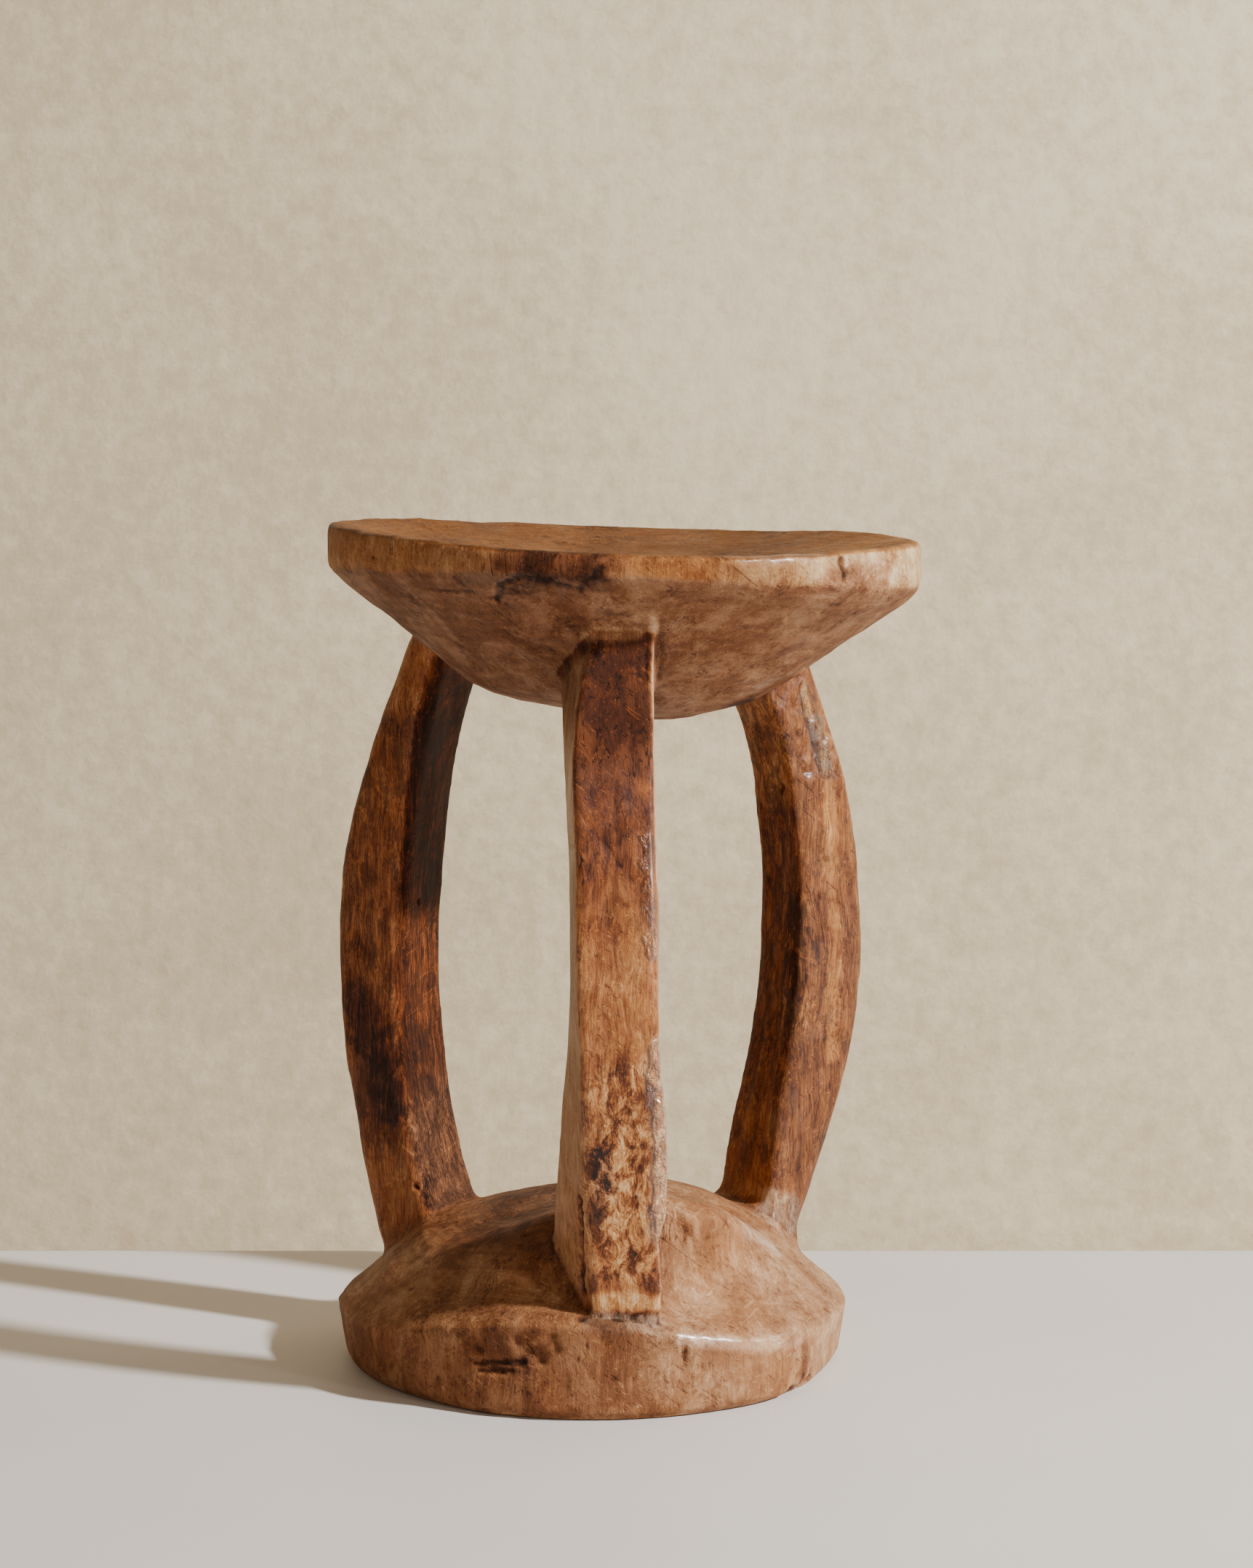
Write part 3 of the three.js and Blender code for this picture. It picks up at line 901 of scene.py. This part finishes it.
def finish_left_leg(finish):
    """The inner face is dark, partly painted shade and darker still above the seat's shadow line; its
    foot is paler and greyer, partly a painted sheen.
    """
    z = finish.points[:, 2]
    leg = finish.owners == LEFT
    outward, _ = finish.facing("left_leg")
    inner = leg * ease(-outward, 0.25, 0.65)
    outer = leg - inner
    foot = until(z, 90, 130)

    finish.add(leg, tone=0.41 + 0.04 * finish.slow + 0.11 * ease(z, 262, 280))
    finish.add(leg, cool=0.25, red=0.85, flake=0.55, mottle=0.16, gloss=0.2)
    # Painted shade: the inner face is darkened, most above the seat's shadow line; the foot is lifted
    # and greyed, partly as a painted sheen.
    finish.add(inner, tone=0.1 * foot - 0.23 - 0.1 * ease(z, 175, 195))
    finish.add(inner, cool=0.95 * foot - 0.25, red=-0.35, flake=-0.05, gloss=-0.6)
    finish.add(outer, tone=0.05 * ease(z, 150, 190) + 0.05 * ease(z, 190, 240))
    finish.add(outer, tone=0.19 * until(z, 68, 98))


def finish_right_leg(finish):
    """The face toward the key light is pale and yellowish, the other one dark and red."""
    z = finish.points[:, 2]
    leg = finish.owners == RIGHT
    _, sidelong = finish.facing("right_leg")
    lit = leg * ease(-sidelong, 0.25, 0.85)
    shaded = leg - lit

    finish.add(leg, tone=0.36 + 0.04 * finish.slow)
    finish.add(leg, cool=0.25, red=0.95, flake=0.6, mottle=0.25)
    finish.add(lit, tone=0.02 - 0.04 * until(z, 165, 200))
    finish.add(lit, cool=-0.4, red=-1.3, flake=-0.25, mottle=-0.17, gloss=0.35)
    finish.add(shaded, tone=0.03 + 0.26 * ease(z, 225, 245) + 0.04 * ease(z, 192, 208))
    finish.add(shaded, tone=0.2 * until(z, 95, 125))


def add_patches(finish):
    ragged = Noise(RAGGED_PATCHES)(finish.points, 5, 2)
    for looks, line in PATCHES:
        for name, (amount, radius) in looks.items():
            near = near_line(finish.points, line, radius * 2 + 2)
            away = to_line(finish.points[near], line) + ragged[near] * radius * 0.4
            finish.values[name][near] += amount * until(away, radius * 0.4, radius * 1.5)


def finish_values(points, normals, owners, crease, dark, bend):
    """All the values: the members' own, the patches, and wear and dirt by the shape."""
    finish = Finish(points, normals, owners)
    finish_seat(finish)
    finish_base(finish)
    finish_front_leg(finish)
    finish_left_leg(finish)
    finish_right_leg(finish)
    z = points[:, 2]
    leg_end = (owners >= FRONT) * np.clip(ease(z, 275, 288) + until(z, 60, 85), 0, 1)
    finish.values["flake"] *= 1 - 0.5 * leg_end
    add_patches(finish)

    everywhere = np.ones(len(points))
    worn = ease(-bend, 0.05, 0.4)
    dirt = ease(bend, 0.05, 0.4)
    finish.add(everywhere, tone=0.1 * worn - 0.14 * dirt - dark)
    finish.add(everywhere, gloss=0.35 * worn - 0.3 * dirt)
    near_crease = until(crease, 1.5, 9)
    finish.add(near_crease, tone=-0.03 - 0.05 * (z < MID_HEIGHT), flake=0.1)
    return finish.values


class WoodKind(NamedTuple):
    spot_size: float  # mm
    spot_rise: float  # below 1, spots are drawn out along the log
    spot_rough: float
    streaks: float  # how strong the grain shows
    tooling: float  # how strong fine tool marks round the log's axis show
    crinkle: float  # mm, how bumpy polished edges are


WOODS = {
    "seat_wood": WoodKind(22, 0.9, 0.72, 0.7, 0.18, 0),
    "leg_wood": WoodKind(6.7, 0.55, 0.78, 1.0, 0, 9),
    "base_wood": WoodKind(19, 0.8, 0.74, 0.8, 0.28, 0),
}

# Display colours of bare wood from tone 0 to tone 1, where it is warm and where it is greyed.
WARM_WOOD = (
    (32, 15, 8), (74, 35, 16), (122, 67, 31), (160, 102, 53), (190, 139, 84), (214, 177, 130)
)
COLD_WOOD = (
    (38, 24, 18), (76, 47, 32), (122, 81, 55), (160, 118, 84), (190, 155, 122), (214, 190, 162)
)
CRUST = (44, 22, 14)
PORE_DIRT = (56, 27, 14)
DUST_AND_SHEEN = (190, 172, 152)
GILT_TINT = (0.98, 1.14, 0.95, 1)
RED_TINT = (1.0, 0.78, 0.62, 1)


class Wood(Nodes):
    """Old carved wood: every pattern runs through the body, drawn out along its height."""

    def __init__(self, name, kind):
        super().__init__(name)
        self.kind = kind
        self.where = self.add("ShaderNodeTexCoord").outputs["Object"]
        self.bent = self.wavering_places()
        self.grain = self.noise(self.bent, scale=430, detail=6, roughness=0.68, rise=0.07)
        self.fibre = self.noise(self.bent, scale=1300, roughness=0.7, rise=0.035)
        self.blotch = self.noise(
            self.where,
            scale=1 / (kind.spot_size * MM),
            detail=9,
            roughness=kind.spot_rough,
            distortion=0.5,
            rise=kind.spot_rise,
        )
        self.broad = self.noise(self.where, scale=26)
        self.tooled = self.tool_marks()
        self.cracks = self.thin_lines(
            self.noise(self.bent, scale=85, detail=4, roughness=0.6, rise=0.12),
            width=0.008,
            area=self.steps(self.noise(self.where, scale=42), 0.54, 0.62),
        )
        self.scored = self.scores()
        self.flaked = self.plus(self.times(self.value("flake"), 1.1), 0.45)
        self.pores = self.times(self.open_pores(), self.flaked)
        self.crust = self.dark_crust()
        self.film = self.times(self.value("dust"), self.steps(self.blotch, 0.4, 0.65))
        self.shine = self.math("ADD", self.value("gloss"), self.centred(self.blotch, 0.8), clamp=True)

    def value(self, attribute):
        return self.add("ShaderNodeAttribute", attribute_name=attribute).outputs["Fac"]

    def wavering_places(self):
        """Places pushed about a little, so that the grain isn't ruled."""
        waver = self.noise(self.where, scale=28, detail=2, roughness=0.5, output="Color")
        shift = self.vector("SUBTRACT", waver, (0.5, 0.5, 0.5))
        shift = self.vector("SCALE", shift, scale=0.012)
        return self.vector("ADD", self.where, shift)

    def tool_marks(self):
        """A noise drawn out into arcs round the log's axis."""
        flat = self.vector("MULTIPLY", self.where, (1, 1, 0))
        bearing = self.vector("SCALE", self.vector("NORMALIZE", flat), scale=0.0065)
        away = self.add("ShaderNodeCombineXYZ", {2: self.vector("LENGTH", flat)}).outputs[0]
        round_axis = self.vector("ADD", bearing, away)
        return self.noise(round_axis, scale=520, detail=4, roughness=0.65, distortion=0.3)

    def thin_lines(self, source, width, area):
        """Thin lines where a noise passes its middle value, within an area."""
        away = self.math("ABSOLUTE", self.minus(source, 0.5))
        return self.times(self.steps(away, width, width * 0.3), area)

    def scratches(self, turn, scale, amount):
        """Short straight scores along one direction, in patches."""
        inputs = {"Vector": self.where, "Rotation": turn}
        node = self.add("ShaderNodeVectorRotate", inputs, rotation_type="EULER_XYZ")
        marks = self.noise(node.outputs[0], scale, detail=1, rise=0.022)
        return self.times(self.steps(marks, 0.68, 0.72), amount)

    def scores(self):
        """Pale scratches along two directions less dark ones along a third."""
        pale = self.plus(
            self.scratches((0.5, 0.9, 0.2), 900, 0.14),
            self.scratches((1.3, -0.5, 0.6), 800, 0.12),
        )
        return self.minus(pale, self.scratches((-0.5, 0.8, 0.0), 760, 0.14))

    def open_pores(self):
        return self.steps(self.noise(self.bent, scale=1900, detail=1, rise=0.08), 0.6, 0.7)

    def dark_crust(self):
        flake = self.value("flake")
        patchy = {"detail": 10, "roughness": 0.75, "distortion": 0.8, "rise": 0.4}
        crust = self.noise(self.where, scale=130, **patchy)
        crust = self.plus(crust, self.times(flake, 0.16), self.centred(self.grain, 0.25))
        return self.times(self.steps(crust, 0.6, 0.63), self.times(flake, 1.2, clamp=True))

    def streaks(self):
        streaks = self.plus(
            self.centred(self.grain, 0.25),
            self.centred(self.fibre, 0.35),
            self.centred(self.steps(self.grain, 0.4, 0.6), 0.12),
            self.centred(self.steps(self.fibre, 0.4, 0.6), 0.11),
        )
        return self.times(self.times(streaks, self.kind.streaks), self.flaked)

    def spots(self):
        islands = self.steps(self.blotch, 0.43, 0.57)
        spots = self.plus(self.centred(self.blotch, 0.8), self.centred(islands, 0.2))
        return self.times(spots, self.plus(self.value("mottle"), 0.15))

    def growth_rings(self):
        rings = self.add(
            "ShaderNodeTexWave",
            {"Vector": self.bent, "Scale": 62, "Distortion": 5, "Detail": 3, "Detail Scale": 1.2},
            wave_type="RINGS",
            rings_direction="Z",
        )
        return self.centred(rings.outputs["Fac"], 0.045)

    def scuffs(self):
        wavy = {"detail": 5, "roughness": 0.65, "distortion": 1, "rise": 0.5}
        source = self.noise(self.where, scale=60, **wavy)
        area = self.steps(self.noise(self.where, scale=37, detail=2), 0.5, 0.6)
        return self.times(self.thin_lines(source, 0.006, area), 0.12)

    def grime(self):
        fine = self.noise(self.where, scale=420, detail=4, roughness=0.7)
        area = self.noise(self.where, scale=55, detail=4, roughness=0.6)
        grime = self.steps(self.plus(fine, self.centred(area, 1.2)), 0.64, 0.72)
        return self.times(grime, 0.12)

    def tone(self):
        """How pale the wood is drawn: its own tone with the painted light and shade that the tone
        values carry.
        """
        tone = self.plus(
            self.value("tone"),
            self.streaks(),
            self.spots(),
            self.centred(self.broad, 0.25),
            self.growth_rings(),
            self.centred(self.tooled, self.kind.tooling),
        )
        tone = self.minus(tone, self.times(self.cracks, 0.22))
        tone = self.plus(tone, self.scuffs(), self.scored)
        return self.minus(tone, self.grime())

    def colour(self):
        tone = self.tone()
        coolness = self.plus(self.value("cool"), self.centred(self.broad, 1.0))
        warm, cold = self.ramp(tone, WARM_WOOD), self.ramp(tone, COLD_WOOD)
        bare = self.mix(self.steps(coolness, 0, 1), warm, cold)
        colour = bare
        for tint, sign in ((GILT_TINT, -1), (RED_TINT, 1)):
            tinted = self.mix(1, bare, tint, "MULTIPLY")
            colour = self.mix(self.times(self.value("red"), sign, clamp=True), colour, tinted)
        coats = ((self.crust, 0.8, CRUST), (self.pores, 0.45, PORE_DIRT), (self.film, 0.55, DUST_AND_SHEEN))
        for cover, strength, coat in coats:
            colour = self.mix(self.times(cover, strength), colour, paint(*coat))
        return colour

    def roughness(self):
        roughness = self.minus(0.56, self.times(self.shine, 0.36))
        roughness = self.plus(roughness, self.centred(self.grain, 0.3))
        return self.math("ADD", roughness, self.times(self.film, 0.25), clamp=True)

    def bumps(self):
        """The bump: fine relief, weaker where the wood is polished smooth."""
        polished = self.steps(self.value("gloss"), 0.7, 1.2)
        crinkles = self.noise(self.where, scale=300, roughness=0.6, distortion=0.6)
        raised = (
            (self.grain, 0.35),
            (self.fibre, 0.12),
            (self.tooled, 1.2 * self.kind.tooling),
            (self.blotch, 0.1 * self.kind.spot_size + 0.4),
            (self.cracks, -0.3),
            (self.pores, -0.08),
            (self.crust, 0.12),
            (self.math("ABSOLUTE", self.scored), -0.8),
            (self.times(crinkles, polished), self.kind.crinkle),
        )
        height = self.plus(*(self.times(source, rise * MM) for source, rise in raised))
        strength = self.math("MULTIPLY_ADD", self.shine, -0.75, 1.0)
        strength = self.math("MULTIPLY_ADD", polished, 0.055 * self.kind.crinkle, strength)
        return self.bump(height, distance=1, strength=strength)

    def shader(self):
        inputs = {
            "Base Color": self.colour(),
            "Roughness": self.roughness(),
            "Normal": self.bumps(),
            "Specular IOR Level": self.math("MULTIPLY_ADD", self.shine, 0.4, 0.1),
            "Coat Weight": self.times(self.times(self.shine, self.shine), 0.9),
            "Coat Roughness": 0.24,
            "Coat IOR": 1.7,
        }
        return self.add("ShaderNodeBsdfPrincipled", inputs)


def owners_of(fields, points, edges):
    """Which piece each point belongs to, and how near it lies to a joining crease."""
    seat, base = (field_at(fields[name], points) for name in ("seat", "base"))
    upper = points[:, 2] > MID_HEIGHT
    body = np.where(upper, seat, base)
    owners = np.where(upper, SEAT, BASE)
    crease = np.full(len(points), np.inf)
    for number, name in enumerate(LEGS, FRONT):
        leg = field_at(fields[name], points)
        lead = spread(leg - body, edges, 6)
        owners[lead < 0] = number
        crease = np.minimum(crease, np.abs(leg) + np.abs(body))
    return owners, crease


def open_edges(faces, count):
    """The directed edges of some faces that no other of them shares."""
    pairs = directed_edges(faces)
    keys = pairs[:, 0] * count + pairs[:, 1]
    back = pairs[:, 1] * count + pairs[:, 0]
    return pairs[~np.isin(keys, back)]


def share_out(quads, owners, count):
    """One owner per face, with every piece's border a plain ring."""
    corner = owners[quads]
    share = np.full(len(quads), SEAT)
    share[(corner == BASE).any(axis=1)] = BASE
    for number in (RIGHT, LEFT, FRONT):
        share[(corner == number).sum(axis=1) >= 2] = number
    knots_left = True
    while knots_left:
        knots_left = False
        for number in (FRONT, LEFT, RIGHT):
            border = open_edges(quads[share == number], count)
            starts, times = np.unique(border[:, 0], return_counts=True)
            knots = starts[times > 1]
            if len(knots):
                touching = np.isin(quads, knots).any(axis=1) & (share == number)
                share[touching] = corner[touching].min(axis=1)
                share[touching & (share == number)] = SEAT
                knots_left = True
    return share


def rings_of(border):
    """Closed rings of points from directed border edges."""
    following = dict(zip(border[:, 0].tolist(), border[:, 1].tolist()))
    rings = []
    while following:
        start, here = next(iter(following.items()))
        ring = [start]
        del following[start]
        while here != start:
            ring.append(here)
            here = following.pop(here)
        rings.append(ring)
    return rings


def capped(points, normals, faces):
    """A closed body from part of the surface: places, normals, quads, the caps' triangles
    and which of the surface's points the places are. Caps meet at points of their own."""
    used, quads = np.unique(faces, return_inverse=True)
    number_of = np.full(len(points), -1)
    number_of[used] = np.arange(len(used))
    places, facing = [points[used]], [normals[used]]
    caps = []
    for number, ring in enumerate(rings_of(open_edges(faces, len(points)))):
        middle = len(used) + number
        places.append(points[ring].mean(axis=0))
        facing.append(normals[ring].mean(axis=0))
        for a, b in zip(ring, ring[1:] + ring[:1]):
            caps.append((number_of[b], number_of[a], middle))
    caps = np.asarray(caps, int).reshape(-1, 3)
    return np.vstack(places), np.vstack(facing), quads.reshape(-1, 4), caps, used


def fill_mesh(mesh, places, quads, triangles):
    corners = np.concatenate([quads.ravel(), triangles.ravel()]).astype(np.int32)
    sides = np.repeat([4, 3], [len(quads), len(triangles)])
    starts = (np.cumsum(sides) - sides).astype(np.int32)
    mesh.vertices.add(len(places))
    mesh.vertices.foreach_set("co", (places * MM).astype(np.float32).ravel())
    mesh.loops.add(len(corners))
    mesh.loops.foreach_set("vertex_index", corners)
    mesh.polygons.add(len(starts))
    mesh.polygons.foreach_set("loop_start", starts)
    mesh.polygons.foreach_set("use_smooth", np.ones(len(starts), bool))
    mesh.update()
    mesh.validate()


def add_piece(name, points, normals, faces, values, material):
    """One piece of the stool, with its values and its own shading normals."""
    places, facing, quads, caps, used = capped(points, normals, faces)
    mesh = bpy.data.meshes.new(name)
    fill_mesh(mesh, places, quads, caps)
    for attribute in ATTRIBUTES:
        filled = np.zeros(len(places), np.float32)
        filled[: len(used)] = values[attribute][used]
        mesh.attributes.new(attribute, "FLOAT", "POINT").data.foreach_set("value", filled)
    facing = facing / np.maximum(np.linalg.norm(facing, axis=1, keepdims=True), 1e-9)
    mesh.normals_split_custom_set_from_vertices([tuple(v) for v in facing])
    mesh.materials.append(material)
    piece = linked(name, mesh)
    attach(piece, "root")
    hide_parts(name)


def carved_surface():
    """The whole stool as one carved surface, which face is whose, and the looks' values."""
    fields = {name: distances(name) for name in PIECES}
    points, quads = surface(joined_solids(fields))
    edges = edges_of(quads)
    owners, crease = owners_of(fields, points, edges)
    share = share_out(quads, owners, len(points))

    weights = wear_weights(points, owners, edges)
    points = swell(even_out(points, edges, weights, WEAR_ROUNDS))
    points = warp(widen(points, point_normals(points, quads), fields))
    plain_height = points[:, 2]

    normals = point_normals(points, quads)
    depth = spread(relief(points, normals, owners, crease), edges, 1)
    points = points - normals * depth[:, None]
    points, dark = carve(points, point_normals(points, quads))
    low_corner, high_corner = (np.array(corner) / MM for corner in (cad_low, cad_high))
    points = np.clip(points, low_corner + BOX_GAP, high_corner - BOX_GAP)
    sole = plain_height < SOLE_EDGE
    points[sole, 2] = np.maximum(plain_height[sole], 0)

    normals = point_normals(points, quads)
    bend = ((spread(points, edges, 5) - points) * normals).sum(axis=1)
    bend = spread(bend, edges, 1)
    values = finish_values(points, normals, owners, crease, dark, bend)
    return points, quads, normals, share, values


make_camera()
make_stage()
make_lights()
materials = {}
for slot, kind in WOODS.items():
    wood = Wood(slot, kind)
    materials[slot] = wood.finish(wood.shader())
points, quads, normals, share, values = carved_surface()
for number, name in enumerate(PIECES):
    add_piece(name, points, normals, quads[share == number], values, materials[SLOTS[name]])
